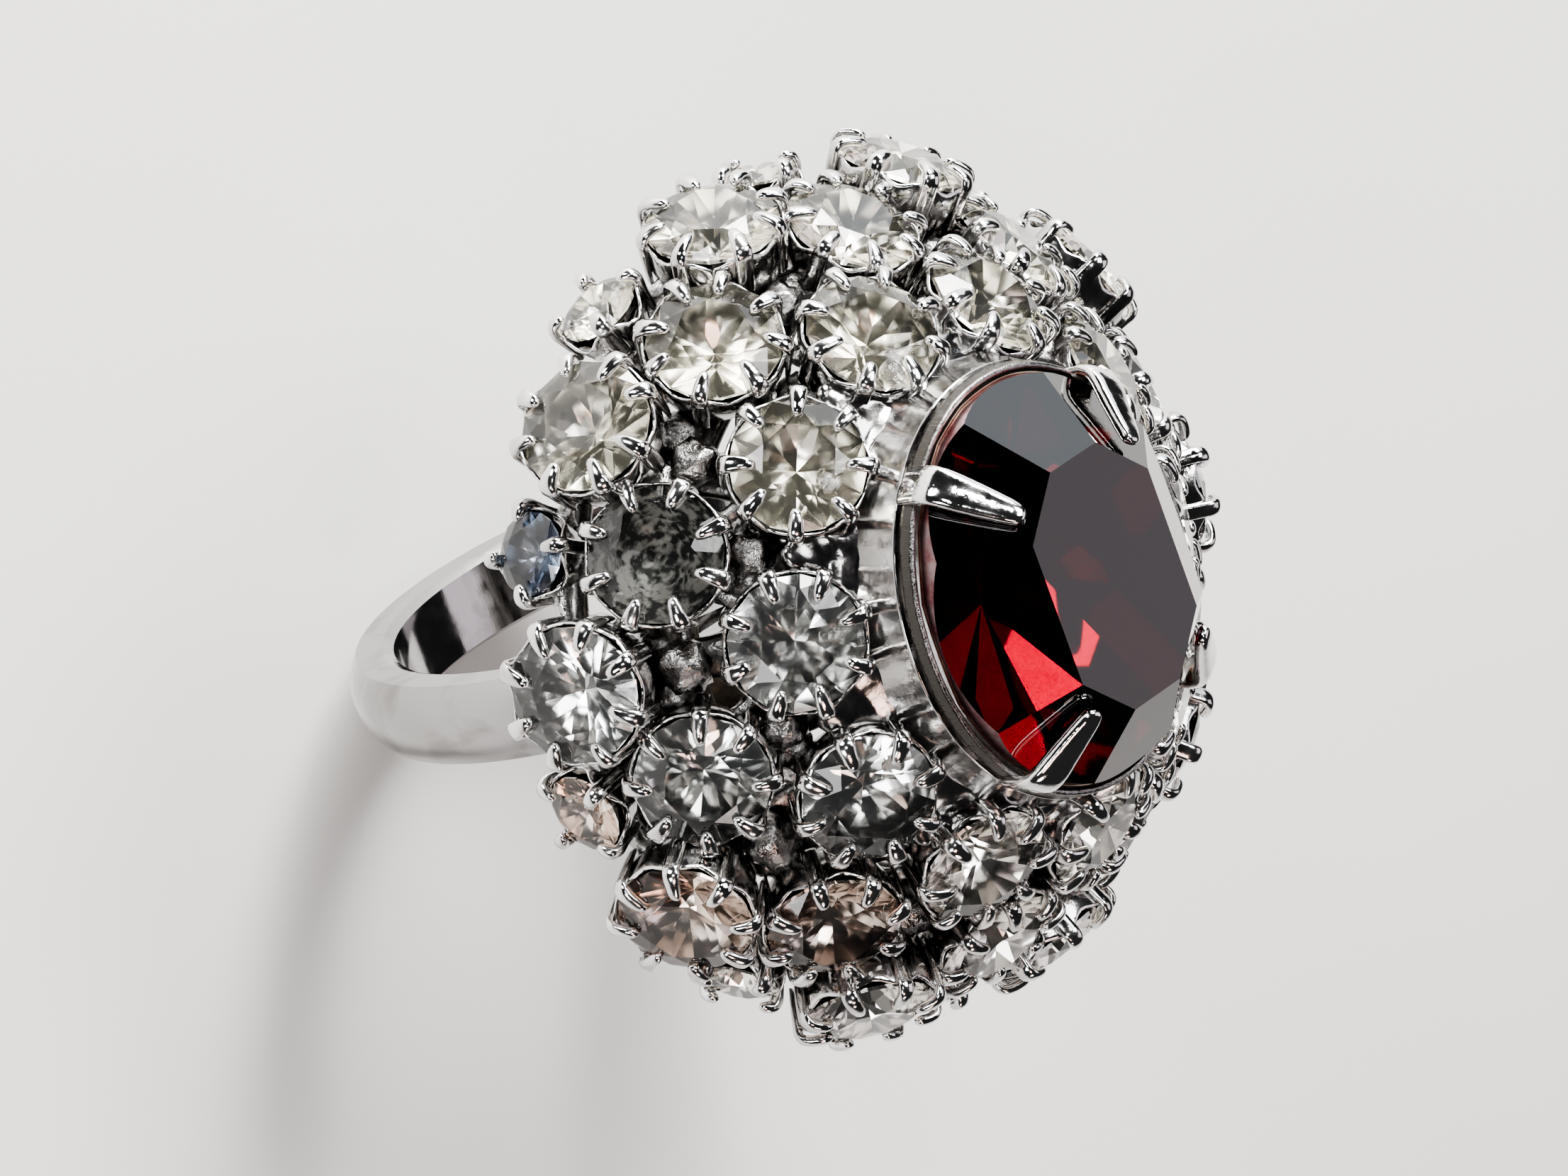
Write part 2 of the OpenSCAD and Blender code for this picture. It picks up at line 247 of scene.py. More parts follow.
def spokes(turn):
    """Unit vectors outwards and sideways at an angle round the z axis."""
    out = Vector((math.cos(turn), math.sin(turn), 0))
    side = Vector((-math.sin(turn), math.cos(turn), 0))
    return out, side


def polar_of(point):
    """Angle of a point round the z axis."""
    return math.atan2(point.y, point.x)


def full_turn(sides):
    """Evenly spaced angles round a circle."""
    return [2 * math.pi * i / sides for i in range(sides)]


def rounded(a, power, wide, deep):
    """Point at angle a on a rounded rectangle of the given half sizes."""
    x = math.copysign(abs(math.cos(a)) ** power, math.cos(a)) * wide
    y = math.copysign(abs(math.sin(a)) ** power, math.sin(a)) * deep
    return x, y


# ---- mesh building ----

def add_object(name, data):
    """Puts a mesh, light or camera into the scene."""
    item = bpy.data.objects.new(name, data)
    bpy.context.scene.collection.objects.link(item)
    return item


def new_piece(name, shape, materials, place_at=Matrix.Identity(4), smooth=True,
              face_materials=None):
    """A mesh piece from local millimetres, put in place and carried by the ring."""
    mesh = bpy.data.meshes.new(name)
    mesh.from_pydata([place_at @ (Vector(v) * MM) for v in shape.verts], [], shape.faces)
    for material in materials:
        mesh.materials.append(material)
    for number, polygon in enumerate(mesh.polygons):
        polygon.use_smooth = smooth
        if face_materials:
            polygon.material_index = face_materials[number]
    # Painted shade per vertex, which the metals read to darken their colour.
    if any(shape.painted_shade):
        depths = mesh.attributes.new("painted_shade", "FLOAT", "POINT")
        depths.data.foreach_set("value", shape.painted_shade)
    piece = add_object(name, mesh)
    fix_normals(piece)
    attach(piece, "root")
    return piece


def fix_normals(piece):
    bm = bmesh.new()
    bm.from_mesh(piece.data)
    bmesh.ops.recalc_face_normals(bm, faces=bm.faces)
    bm.to_mesh(piece.data)
    bm.free()


def stands_for(node):
    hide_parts(node)


class Shape:
    """Collects closed bodies of one piece, with a painted-shade value at each vertex."""

    def __init__(self, verts=(), faces=()):
        self.verts = list(verts)
        self.faces = list(faces)
        self.painted_shade = [0.0] * len(self.verts)

    def loft(self, rings, loop=False, painted_shade=None):
        """Skins rings of equal length; loop joins the last ring to the first.

        The last argument gives each ring's painted shade, from 0 on open faces to 1 in hollows,
        and more where the metal is painted dark all over.
        """
        start = len(self.verts)
        size = len(rings[0])
        for k, ring in enumerate(rings):
            self.verts.extend(ring)
            self.painted_shade.extend([painted_shade[k] if painted_shade else 0.0] * size)
        count = len(rings)
        for k in range(count if loop else count - 1):
            low = start + k * size
            high = start + (k + 1) % count * size
            for i in range(size):
                j = (i + 1) % size
                self.faces.append((low + i, low + j, high + j, high + i))
        if not loop:
            self.faces.append(tuple(range(start + size - 1, start - 1, -1)))
            last = start + (count - 1) * size
            self.faces.append(tuple(range(last, last + size)))


def smooth_path(points, steps):
    """Catmull-Rom points through rows of numbers."""
    path = []
    last = len(points) - 1
    for k in range(last):
        a, b, c, d = (points[max(0, min(last, k + n))] for n in (-1, 0, 1, 2))
        for step in range(steps):
            t = step / steps
            row = []
            for p, q, r, s in zip(a, b, c, d):
                row.append(0.5 * (2 * q + (r - p) * t + (2 * p - 5 * q + 4 * r - s) * t * t
                                  + (3 * q - p - 3 * r + s) * t ** 3))
            path.append(row)
    path.append(list(points[-1]))
    return path


def claw_rings(profile, around, lean, stretch, power, sides=12):
    """Rings of one claw. Profile rows are (outward, height, half width, half depth).

    The claw stands at angle around; lean tips it sideways towards its point.
    """
    rows = smooth_path(profile, 4)
    rings = []
    out, side = spokes(around)
    base = rows[0]
    for k, (reach, height, wide, deep) in enumerate(rows):
        before = rows[max(0, k - 1)]
        after = rows[min(len(rows) - 1, k + 1)]
        along = Vector((after[0] - before[0], after[1] - before[1]))
        along = along.normalized()
        facing = out * along[1] - Vector((0, 0, 1)) * along[0]
        share = k / (len(rows) - 1)
        pulled = base[0] + (reach - base[0]) * stretch
        centre = out * pulled + Vector((0, 0, height)) + side * (lean * share ** 2)
        ring = []
        for a in full_turn(sides):
            x, y = rounded(a, power, wide, deep)
            ring.append(centre + side * x + facing * y)
        rings.append(ring)
    return rings


# ---- places of the round stones, read from the CAD stones ----

def stone_seat(node):
    """Matrix of a stone's own axes (+Z through its face) and its radius in mm."""
    # Whole micrometres merge doubled corners, and the sort fixes their order.
    points = {tuple(round(c * 1e6) for c in v.co) for v in NODES[node].data.vertices}
    points = np.array(sorted(points)) * 1e-6
    centre = points.mean(0)
    axis = np.linalg.eigh(np.cov((points - centre).T))[1][:, 0]
    heights = (points - centre) @ axis
    # The pavilion is deeper than the crown, so the longer side has to be below.
    if heights.max() > -heights.min():
        axis = -axis
        heights = -heights
    offsets = points - centre - np.outer(heights, axis)
    reaches = np.linalg.norm(offsets, axis=1)
    radius = reaches.max()
    origin = centre + axis * heights[reaches > 0.9 * radius].mean()
    axis = Vector(axis)
    spoke = Vector(offsets[heights.argmax()]).normalized()
    turn = Matrix((spoke, axis.cross(spoke), axis)).transposed().to_4x4()
    return Matrix.Translation(Vector(origin)) @ turn, radius / MM


# ---- round stones ----

def brilliant_corners(r):
    """Corners from the table down: table, star, girdle's two edges, pavilion, culet."""
    table_r = 0.56 * r
    girdle = 0.03 * r
    top = girdle + 0.24 * r
    bottom = -girdle - 0.76 * r
    eighth = math.pi / 4

    def point(radius, turn, z):
        return (radius * math.cos(turn), radius * math.sin(turn), z)

    def on_facet(share, outer_z, inner_r, inner_z):
        """Corner shared by two neighbouring main facets."""
        reach = inner_r + share * (r - inner_r)
        z = inner_z + share * (outer_z - inner_z)
        return reach / math.cos(eighth / 2), z

    star_r, star_z = on_facet(0.42, girdle, table_r, top)
    lower_r, lower_z = on_facet(0.26, -girdle, 0, bottom)
    verts = [point(table_r, eighth * k, top) for k in range(8)]
    verts += [point(star_r, eighth * (k + 0.5), star_z) for k in range(8)]
    verts += [point(r, eighth * k / 2, girdle) for k in range(16)]
    verts += [point(r, eighth * k / 2, -girdle) for k in range(16)]
    verts += [point(lower_r, eighth * (k + 0.5), lower_z) for k in range(8)]
    verts.append((0, 0, bottom))
    return verts


def brilliant(r):
    """Shape and face materials (0 glass, 1 foil) of a round brilliant."""
    table, star, upper, lower, back, culet = 0, 8, 16, 32, 48, 56
    faces = [tuple(range(8))]
    faces += [(table + k, star + k, table + (k + 1) % 8) for k in range(8)]
    faces += [(table + k, star + (k - 1) % 8, upper + 2 * k, star + k) for k in range(8)]
    for k in range(8):
        middle = upper + 2 * k + 1
        faces.append((star + k, upper + 2 * k, middle))
        faces.append((star + k, middle, upper + (2 * k + 2) % 16))
    faces += [(upper + k, lower + k, lower + (k + 1) % 16, upper + (k + 1) % 16)
              for k in range(16)]
    glass_count = len(faces)
    faces += [(culet, back + (k - 1) % 8, lower + 2 * k, back + k) for k in range(8)]
    for k in range(8):
        middle = lower + 2 * k + 1
        faces.append((back + k, lower + 2 * k, middle))
        faces.append((back + k, middle, lower + (2 * k + 2) % 16))
    kinds = [0] * glass_count + [1] * (len(faces) - glass_count)
    return Shape(brilliant_corners(r), faces), kinds


def stone_foil(row, number, seat):
    """Painted reflections: warm foil on one side of the head and greyer foil on the other stand
    in for warm and cool surroundings; a few stones differ.
    """
    odd_ones = {("mid", 4): FOIL_WORN, ("rim", 4): FOIL_COOL, ("rim", 5): FOIL_ROSE,
                ("outer", 5): FOIL_ROSE, ("mid", 6): FOIL_ROSE}
    if (row, number) in odd_ones:
        return odd_ones[row, number]
    along = seat.translation.y / MM
    if along > 3:
        return FOIL_WARM
    return FOIL_PLAIN if along < -6 else FOIL_GREY


def make_stones():
    rng = random.Random(11)
    for row in ROWS:
        for number in range(ROW_COUNT):
            node = f"{row}_stone_{number}"
            seat, r = stone_seat(node)
            wobble = Matrix.Rotation(math.radians(rng.uniform(-1.5, 1.5)), 4, "X")
            wobble = wobble @ Matrix.Rotation(math.radians(rng.uniform(-1.5, 1.5)), 4, "Y")
            turned = Matrix.Rotation(math.radians(rng.uniform(-22, 22)), 4, "Z")
            shape, kinds = brilliant(r)
            piece = new_piece(f"{node}_cut", shape, [CLEAR, stone_foil(row, number, seat)],
                              seat @ wobble @ turned, False, kinds)
            stands_for(node)


# ---- the dome's arc, in a plane through the head's axis ----

# Centre of the arc, the ribs' radius, and the rise in degrees where the ribs start
# and how far they run.
ARC_R = 2.0
ARC_Z = 6.4
RIB_RADIUS = 10.7
RIB_START = 22
RIB_RUN = 39.5


def dome_point(polar, rise, reach):
    """Point at a reach from the centre of the arc, in the plane at angle polar."""
    out, _ = spokes(polar)
    facing = out * math.cos(rise) + Vector((0, 0, math.sin(rise)))
    return out * ARC_R + Vector((0, 0, ARC_Z)) + facing * reach


# ---- cups ----

# Rows of a claw: reach beyond the girdle, height, half width, half depth.
LARGE_CLAW = [(0.13, -1.45, 0.28, 0.08), (0.19, -0.80, 0.31, 0.12), (0.24, -0.15, 0.32, 0.14),
              (0.26, 0.14, 0.32, 0.16), (0.15, 0.37, 0.31, 0.18), (-0.10, 0.49, 0.28, 0.18),
              (-0.36, 0.54, 0.25, 0.18), (-0.56, 0.55, 0.21, 0.17), (-0.70, 0.53, 0.15, 0.13),
              (-0.78, 0.50, 0.05, 0.05)]
SMALL_CLAW = [(0.06, -1.15, 0.26, 0.12), (0.12, -0.60, 0.29, 0.16), (0.22, -0.10, 0.30, 0.19),
              (0.25, 0.14, 0.30, 0.21), (0.16, 0.37, 0.29, 0.22), (-0.03, 0.46, 0.26, 0.21),
              (-0.22, 0.48, 0.21, 0.18), (-0.33, 0.46, 0.14, 0.13), (-0.38, 0.43, 0.05, 0.05)]
CUP_DEPTH = {"inner": 2.45, "mid": 2.45, "outer": 3.0, "rim": 1.75}
# Rows of a cup's wall: share of the stone's radius, extra, share of the depth,
# height, share of the dip between claws, painted shade.
CUP_WALL = [(0.30, 0, -1, 0, 0, 1), (0.48, 0, -1, 0, 0, 1), (0.70, 0, -0.90, 0, 0, 0.95),
            (0.90, 0, -0.66, 0, 0, 0.85), (1, 0.09, -0.30, 0, 0, 0.6),
            (1, 0.15, 0, -0.20, 0.5, 0.4), (1, 0.16, 0, -0.06, 0.9, 0.15),
            (1, 0.15, 0, 0.02, 1, 0), (1, 0.11, 0, 0.05, 1, 0), (1, 0.06, 0, 0.04, 1, 0.1),
            (1, 0.03, 0, -0.02, 1, 0.6), (1, 0.02, 0, -0.14, 0.6, 1)]
# Seat and floor inside the cup: reach and depth as shares of the stone's radius, extra depth.
CUP_INSIDE = [(0.57, 0.5, 0), (0.25, 0.77, 0.3)]


def cup_wall(shape, r, claws, depth, dip):
    """Turned cup: its rim dips between the claws, and a seat inside holds the stone."""
    turns = full_turn(64)
    rings = []
    for share, extra, deep, height, dips, _ in CUP_WALL:
        ring = []
        for a in turns:
            between = 0.5 + 0.5 * math.cos(claws * a)
            reach = share * r + extra - 0.05 * dips * between
            level = deep * depth + height - dips * dip * between ** 1.5
            ring.append(Vector((reach * math.cos(a), reach * math.sin(a), level)))
        rings.append(ring)
    for share, drop, extra in CUP_INSIDE:
        reach = share * r
        level = -extra - drop * r
        rings.append([Vector((reach * math.cos(a), reach * math.sin(a), level)) for a in turns])
    # Painted shade: the wall is darker towards the cup's foot and on the inside, bright at the
    # rim.
    shape.loft(rings, painted_shade=[row[-1] for row in CUP_WALL] + [1] * len(CUP_INSIDE))


def make_cup(name, node, r, claws, profile, depth, dip, seat, rng):
    """One cup and its claws, each claw a little different, with painted shade at its foot."""
    shape = Shape()
    cup_wall(shape, r, claws, depth, dip)
    for i in range(claws):
        around = 2 * math.pi * (i + 0.5) / claws + math.radians(rng.uniform(-3, 3))
        swell = rng.uniform(0.9, 1.1)
        rows = [(r + reach, z, wide * swell, deep) for reach, z, wide, deep in profile]
        rings = claw_rings(rows, around, rng.uniform(-0.12, 0.12), rng.uniform(0.80, 1.08), 0.85)
        # Painted shade at the claw's foot, fading out part way up.
        shades = [0.85 * (1 - min(1, 2.2 * k / len(rings))) for k in range(len(rings))]
        shape.loft(rings, painted_shade=shades)
    piece = new_piece(name, shape, [CUP], seat)
    stands_for(node)


def make_cups():
    rng = random.Random(7)
    for row in ROWS:
        for number in range(ROW_COUNT):
            seat, r = stone_seat(f"{row}_stone_{number}")
            seat = seat @ Matrix.Rotation(math.radians(rng.uniform(-10, 10)), 4, "Z")
            name = f"{row}_cup_{number}"
            if row == "rim":
                make_cup(name, "rim_cups", r, 4, SMALL_CLAW, CUP_DEPTH[row], 0.55, seat, rng)
            else:
                make_cup(name, f"{row}_cups", r, 8, LARGE_CLAW, CUP_DEPTH[row], 0.24, seat, rng)


def lump(shape, centre, r, seed, shade=0.0):
    """One uneven bead of solder."""
    rows = 12
    sides = 18
    rings = []
    for k in range(1, rows):
        tilt = math.pi * k / rows
        ring = []
        for turn in full_turn(sides):
            ray = Vector((math.sin(tilt) * math.cos(turn), math.sin(tilt) * math.sin(turn),
                          math.cos(tilt)))
            swell = 1 + 0.3 * noise.noise(ray * 1.6 + Vector((seed, 0, 0)))
            swell += 0.12 * noise.noise(ray * 4 + Vector((0, seed, 0)))
            ring.append(centre + ray * r * swell)
        rings.append(ring)
    shape.loft(rings, painted_shade=[shade] * len(rings))


def solder_neck(shape, p, q, seed):
    """Uneven fillet of solder drawn out between two points, wide at both ends."""
    span = q - p
    turn = span.to_track_quat("Z", "Y").to_matrix()
    rings = []
    steps = 10
    sides = 16
    for k in range(steps + 1):
        t = k / steps
        middle = p + span * t + Vector((0, 0, -0.05)) * math.sin(math.pi * t)
        r = 0.27 + 0.26 * (2 * t - 1) ** 2
        if k in (0, steps):
            r = 0.2
        ring = []
        for a in full_turn(sides):
            ray, _ = spokes(a)
            swell = 1 + 0.28 * noise.noise(ray * 1.2 + Vector((seed, 3 * t, 0)))
            ring.append(middle + turn @ ray * r * swell)
        rings.append(ring)
    # Painted shade: the solder is darkened a little all along.
    shape.loft(rings, painted_shade=[0.25] * len(rings))


def make_cup_solder():
    """Solder between each cup and its neighbours in the next row.

    Joints: row, depth and reach of one cup, then of its neighbour.
    """
    joints = [("inner", 1.1, 1.95, "mid", 1.1, 1.95), ("outer", 0.8, 1.95, "mid", 1.3, 1.95),
              ("outer", 0.7, 1.95, "rim", 1.0, 1.15)]
    shape = Shape()
    for row_a, depth_a, reach_a, row_b, depth_b, reach_b in joints:
        for i in range(ROW_COUNT):
            for side in (0, 1):
                seat_a, _ = stone_seat(f"{row_a}_stone_{i}")
                seat_b, _ = stone_seat(f"{row_b}_stone_{(i + side) % ROW_COUNT}")
                p = seat_a @ Vector((0, 0, -depth_a * MM)) / MM
                q = seat_b @ Vector((0, 0, -depth_b * MM)) / MM
                along = (q - p).normalized()
                solder_neck(shape, p + along * reach_a, q - along * reach_b, len(shape.verts))
    fill_gaps(shape)
    piece = new_piece("cup_solder_necks", shape, [SOLDER])
    stands_for("cup_solder")


def fill_gaps(shape):
    """Lumps of solder on the ribs, in the middle of each gap between four cups.

    Places: row that gives the direction, turn from it, rise along the dome, reach, size.
    """
    rng = random.Random(17)
    places = [("outer", 0, 40, 11.7, 0.85), ("outer", 5, 36, 11.2, 0.8),
              ("outer", -5, 36, 11.2, 0.8), ("mid", 0, 52, 11.5, 0.85),
              ("mid", 5, 52, 11.0, 0.75), ("mid", -5, 52, 11.0, 0.75),
              ("mid", 0, 26, 11.3, 0.85), ("mid", 0, 22, 11.0, 0.7)]
    for row, turn, rise, reach, size in places:
        for i in range(ROW_COUNT):
            seat, _ = stone_seat(f"{row}_stone_{i}")
            polar = polar_of(seat.translation)
            centre = dome_point(polar + math.radians(turn + rng.uniform(-1, 1)),
                                math.radians(rise + rng.uniform(-1, 1)), reach)
            # The lumps sit in the shaded gaps and get painted shade.
            lump(shape, centre, size * rng.uniform(0.85, 1.1), rise + turn + i, 0.6)


# ---- ribs of the frame ----

def rib(shape, polar, seed):
    """Cast strap with uneven edges that follows the dome's arc, in the plane at angle polar."""
    steps = 26
    sides = 16
    out, side = spokes(polar)
    rings = []
    for k in range(steps + 1):
        rise = math.radians(RIB_START + RIB_RUN * k / steps)
        facing = out * math.cos(rise) + Vector((0, 0, math.sin(rise)))
        sample = Vector((seed, 2.6 * rise, 0))
        wide = 0.74 + 0.16 * noise.noise(sample * 2)
        deep = 0.27 + 0.10 * noise.noise(sample * 3 + Vector((0, 0, 5)))
        shift = 0.14 * noise.noise(sample * 2 + Vector((0, 0, 9)))
        centre = dome_point(polar, rise, RIB_RADIUS) + side * shift
        ring = []
        for a in full_turn(sides):
            x, y = rounded(a, 0.7, wide, deep)
            ring.append(centre + side * x + facing * y)
        rings.append(ring)
    # Painted shade all along the rib, which lies in the shaded gaps.
    shape.loft(rings, painted_shade=[0.6] * len(rings))


def make_ribs():
    for node, row in (("inner_outer_ribs", "outer"), ("mid_rim_ribs", "rim")):
        shape = Shape()
        for i in range(ROW_COUNT):
            seat, _ = stone_seat(f"{row}_stone_{i}")
            rib(shape, polar_of(seat.translation), 10 * i + len(row))
        piece = new_piece(f"{node}_cast", shape, [CAST])
        stands_for(node)


# ---- oval centre: stone, bezel, claws and pedestal ----

stone_low, stone_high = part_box("centre_stone")
OVAL_X = stone_high.x / MM
OVAL_Y = stone_high.y / MM
TABLE_Z = stone_high.z / MM
CULET_Z = stone_low.z / MM
CROWN = 2.6
GIRDLE_Z = TABLE_Z - CROWN
GIRDLE_THICK = 0.2
# The lower facets start this far below the crown's edge, and are this much steeper than the
# pavilion mains.
LOWER_DROP = 0.25
LOWER_STEEPER = math.radians(5)
# A face whose normal rises or falls by less than this belongs to the girdle.
SIDEWAYS = 0.05
# Half sizes of the eight-sided table, and where its ends and sides meet the slants.
TABLE_X = 3.0
TABLE_Y = 4.32
TABLE_END = 1.18
TABLE_SIDE = 2.52
bezel_low, bezel_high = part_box("bezel")
BEZEL_RIM = bezel_high.z / MM
BEZEL_FOOT = bezel_low.z / MM
BEZEL_OUT = bezel_high.x / MM - OVAL_X
# Height of the pedestal webs' tops, how far they reach out and how far they drop.
WEB_TOP = 18.25
WEB_REACH = 2.4
WEB_DROP = 1.5


def oval_point(grow, turn, z):
    return Vector(((OVAL_X + grow) * math.cos(turn), (OVAL_Y + grow) * math.sin(turn), z))


def oval_ring(grow, z, sides=144):
    return [oval_point(grow, turn, z) for turn in full_turn(sides)]


def cut_plane(bm, point, normal):
    """Cuts away what is outside a facet plane and closes the cut."""
    geometry = bm.verts[:] + bm.edges[:] + bm.faces[:]
    cut = bmesh.ops.bisect_plane(bm, geom=geometry, dist=1e-7, plane_co=Vector(point) * MM,
                                 plane_no=normal, clear_outer=True)
    edges = [e for e in cut["geom_cut"] if isinstance(e, bmesh.types.BMEdge)]
    bmesh.ops.contextual_create(bm, geom=edges)


def facet(bm, turn, reach, z, slope, up):
    """One facet plane that passes through (reach, z) on the side at angle turn."""
    out, _ = spokes(turn)
    normal = out * math.sin(slope) + Vector((0, 0, up * math.cos(slope)))
    point = out * reach + Vector((0, 0, z))
    cut_plane(bm, point, normal)


def girdle_reach(turn):
    return math.hypot(OVAL_X * math.cos(turn), OVAL_Y * math.sin(turn))


def cut_oval():
    """Solid of the oval gem: crown and pavilion mains, and a ring of lower facets."""
    slant = math.atan2(TABLE_X - TABLE_END, TABLE_Y - TABLE_SIDE)
    slant_reach = TABLE_X * math.cos(slant) + TABLE_SIDE * math.sin(slant)
    mains = [(0, TABLE_X), (slant, slant_reach), (math.pi / 2, TABLE_Y),
             (math.pi - slant, slant_reach)]
    mains += [(turn + math.pi, reach) for turn, reach in mains]
    shape = Shape()
    shape.loft([oval_ring(0, CULET_Z), oval_ring(0, TABLE_Z)])
    bm = bmesh.new()
    corners = [bm.verts.new(v * MM) for v in shape.verts]
    for face in shape.faces:
        bm.faces.new([corners[i] for i in face])
    for turn, reach in mains:
        edge = girdle_reach(turn)
        facet(bm, turn, reach, TABLE_Z, math.atan2(TABLE_Z - GIRDLE_Z, edge - reach), 1)
    under = GIRDLE_Z - GIRDLE_THICK
    deep = under - CULET_Z
    for turn, _ in mains:
        edge = girdle_reach(turn)
        facet(bm, turn, edge, under, math.atan2(deep, edge), -1)
    # A lower facet lies midway between two mains; the last one closes the circle.
    for k in range(8):
        turn = (mains[k][0] + mains[(k + 1) % 8][0] + (2 * math.pi if k == 7 else 0)) / 2
        edge = girdle_reach(turn)
        facet(bm, turn, edge, GIRDLE_Z - LOWER_DROP, math.atan2(deep, edge) + LOWER_STEEPER, -1)
    bm.normal_update()
    bm.verts.index_update()
    return bm


def make_centre_stone():
    """The oval gem: glass crown, foiled pavilion, dull girdle and a lacquered back."""
    bm = cut_oval()
    mesh = bpy.data.meshes.new("centre_stone_cut")
    bm.to_mesh(mesh)
    for material in (RUBY, RUBY_FOIL, RUBY_EDGE):
        mesh.materials.append(material)
    for polygon in mesh.polygons:
        if polygon.normal.z < -SIDEWAYS:
            polygon.material_index = 1
        elif polygon.normal.z < SIDEWAYS:
            polygon.material_index = 2
    piece = add_object("centre_stone_cut", mesh)
    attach(piece, "root")
    stands_for("centre_stone")
    make_stone_backing(bm)
    bm.free()


def make_stone_backing(bm):
    """Thin lacquered shell over the pavilion: two skins joined round the girdle."""
    back = [face for face in bm.faces if face.normal.z < -SIDEWAYS]
    corners = sorted({vert.index for face in back for vert in face.verts})
    place_of = {index: k for k, index in enumerate(corners)}
    bm.verts.ensure_lookup_table()
    middle = Vector((0, 0, GIRDLE_Z))
    points = [bm.verts[index].co / MM for index in corners]
    skins = [[middle + (p - middle) * grow for p in points] for grow in (1.004, 1.010)]
    count = len(corners)
    faces = []
    uses = {}
    for face in back:
        loop = [place_of[vert.index] for vert in face.verts]
        faces.append(tuple(reversed(loop)))
        faces.append(tuple(k + count for k in loop))
        for k, corner in enumerate(loop):
            edge = (corner, loop[(k + 1) % len(loop)])
            uses[frozenset(edge)] = uses.get(frozenset(edge), []) + [edge]
    for edges in uses.values():
        if len(edges) == 1:
            a, b = edges[0]
            faces.append((a, b, b + count, a + count))
    piece = new_piece("centre_stone_backing", Shape(skins[0] + skins[1], faces), [LACQUER],
                      smooth=False)
    stands_for("centre_stone")


def make_bezel():
    """Thin collet that stands off the stone, so that a narrow dark gap shows."""
    out = BEZEL_OUT
    rim = BEZEL_RIM
    foot = BEZEL_FOOT
    outline = [(out, foot), (out - 0.05, foot + 0.3), (out - 0.10, rim - 0.12),
               (out - 0.13, rim - 0.03), (out - 0.18, rim), (out - 0.26, rim),
               (out - 0.32, rim - 0.03), (out - 0.35, rim - 0.10), (out - 1.05, foot)]
    # Painted shade and painted dark reflection: outer wall and inner side painted dark through,
    # the rim's top bright.
    shades = [1.6, 1.6, 1.5, 0.6, 0, 0.3, 1.2, 1.6, 1.6]
    shape = Shape()
    rings = []
    for grow, z in outline:
        ring = oval_ring(grow, z, 192)
        for i, point in enumerate(ring):
            ripple = noise.noise(point * 1.3) * 0.02 + noise.noise(point * 4) * 0.015
            ring[i] = point + Vector((point.x, point.y, 0)).normalized() * ripple
            ring[i].z += noise.noise(point * 0.9) * 0.03 if z > foot + 0.3 else 0
        rings.append(ring)
    shape.loft(rings, loop=True, painted_shade=shades)
    piece = new_piece("bezel_collet", shape, [COLLET])
    stands_for("bezel")


def make_centre_claws():
    """Four broad claws that grow from the collet and arch over the crown."""
    rng = random.Random(5)
    # Turn of a claw from the x axis, as the oval's own parameter.
    turn = math.radians(47)
    profile = [(0.38, -0.85, 0.68, 0.20), (0.42, -0.35, 0.70, 0.22), (0.44, 0.10, 0.71, 0.25),
               (0.36, 0.48, 0.70, 0.28), (0.06, 0.86, 0.67, 0.30), (-0.50, 1.30, 0.61, 0.29),
               (-1.15, 1.82, 0.51, 0.27), (-1.68, 2.25, 0.41, 0.25), (-1.95, 2.45, 0.30, 0.20),
               (-2.06, 2.50, 0.12, 0.10)]
    shape = Shape()
    for around in (turn, math.pi - turn, math.pi + turn, -turn):
        base = oval_point(0, around, 0)
        rows = [(base.length + reach, GIRDLE_Z + z, wide, deep)
                for reach, z, wide, deep in profile]
        shape.loft(claw_rings(rows, polar_of(base), rng.uniform(-0.15, 0.15), 1.0, 0.72, 24))
    piece = new_piece("centre_claw_set", shape, [CLAW])
    stands_for("centre_claws")


def make_pedestal():
    """Flared skirt under the bezel: a thin wall swept round the oval."""
    low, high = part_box("pedestal")
    top = high.z / MM
    tall = (high.z - low.z) / MM
    flare = high.x / MM - OVAL_X
    # Share of the height and of the flare between the neck and the hem.
    steps = [(0, 0), (0.16, 0.10), (0.31, 0.33), (0.47, 0.63), (0.60, 0.90), (0.70, 1), (1, 1)]
    wall = 0.55
    neck = BEZEL_OUT
    rows = [(neck + share * (flare - neck), top - drop * tall)
            for drop, share in smooth_path(steps, 4)]
    inner = [(grow - wall, z) for grow, z in reversed(rows)]
    # Painted shade: darker towards the hem, and dark all over the inside.
    shades = [0.05 + 0.55 * (k / len(rows)) ** 2 for k in range(len(rows))] + [1] * len(rows)
    shape = Shape()
    shape.loft([oval_ring(grow, z) for grow, z in rows + inner], loop=True, painted_shade=shades)
    piece = new_piece("pedestal_skirt", shape, [SKIRT])
    stands_for("pedestal")


